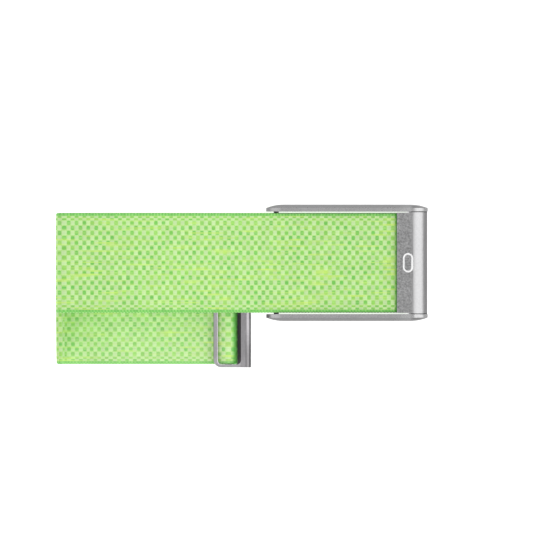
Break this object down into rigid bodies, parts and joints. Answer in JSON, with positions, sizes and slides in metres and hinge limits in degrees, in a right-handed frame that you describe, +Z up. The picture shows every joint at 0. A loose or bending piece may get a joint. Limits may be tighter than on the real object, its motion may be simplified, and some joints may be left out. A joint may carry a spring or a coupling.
{
  "type": "sensor wristband",
  "caption": "Elastic woven wristband folded in a loop, with a two-armed metal pod clasp and a slide buckle that adjusts its length.",
  "frame": {"origin": "bottom centre of the whole band's bounding box, on the surface it lies on", "axes": "+X along the strap from its fold to the clasp's closed end, +Z up from the surface, +Y across the strap"},
  "size_m": [0.0874, 0.0383, 0.015],
  "materials": {
    "clasp_steel": "bead-blasted satin",
    "cap_steel": "bead-blasted satin",
    "slider_steel": "bead-blasted satin",
    "pin_steel": "turned, darkened",
    "strap_weave": "elastic jacquard weave",
    "thread": "sewing thread",
    "tail_tip": "matt moulded"
  },
  "bodies": {
    "clasp_frame": {"side_arm_far": "clasp_steel", "side_arm_near": "clasp_steel", "end_cap": "cap_steel", "pivot_pin_far": "pin_steel", "pivot_pin_near": "pin_steel", "anchor_rod": "pin_steel", "strap_end_loop": "strap_weave", "anchor_stitching": "thread"},
    "upper_strap": {"strap_upper_run": "strap_weave", "strap_upper_bend": "strap_weave"},
    "lower_strap": {"strap_lower_bend": "strap_weave", "strap_lower_ramp": "strap_weave", "strap_feed": "strap_weave"},
    "bar_loop": {"strap_wrap": "strap_weave"},
    "tail": {"strap_tail": "strap_weave", "tail_tip": "tail_tip"},
    "buckle": {"slider_frame": "slider_steel", "slider_bar": "pin_steel"}
  },
  "joints": [
    {"name": "strap_lift", "type": "hinge", "parent": "clasp_frame", "child": "upper_strap", "pos_m": [0.0361, 0.00545, 0.00703], "axis": [0, 1, 0], "range_deg": [0, 90]},
    {"name": "strap_fold", "type": "hinge", "parent": "upper_strap", "child": "lower_strap", "pos_m": [-0.0437, -0.00061, 0.0075], "axis": [0, 1, 0], "range_deg": [0, 90]},
    {"name": "buckle_adjust", "type": "slide", "parent": "lower_strap", "child": "bar_loop", "axis": [-1, 0, 0], "range_m": [0, 0.0055], "deforming": ["strap_feed"]},
    {"name": "tail_slip", "type": "slide", "parent": "bar_loop", "child": "tail", "axis": [-1, 0, 0], "range_m": [0, 0.0055], "deforming": ["strap_tail"]},
    {"name": "buckle_swing", "type": "hinge", "parent": "bar_loop", "child": "buckle", "pos_m": [-0.00325, -0.00668, 0.00225], "axis": [0, 1, 0], "range_deg": [0, 40]}
  ],
  "couplings": [
    {"joint": "tail_slip", "follows": "buckle_adjust", "ratio": 1}
  ]
}
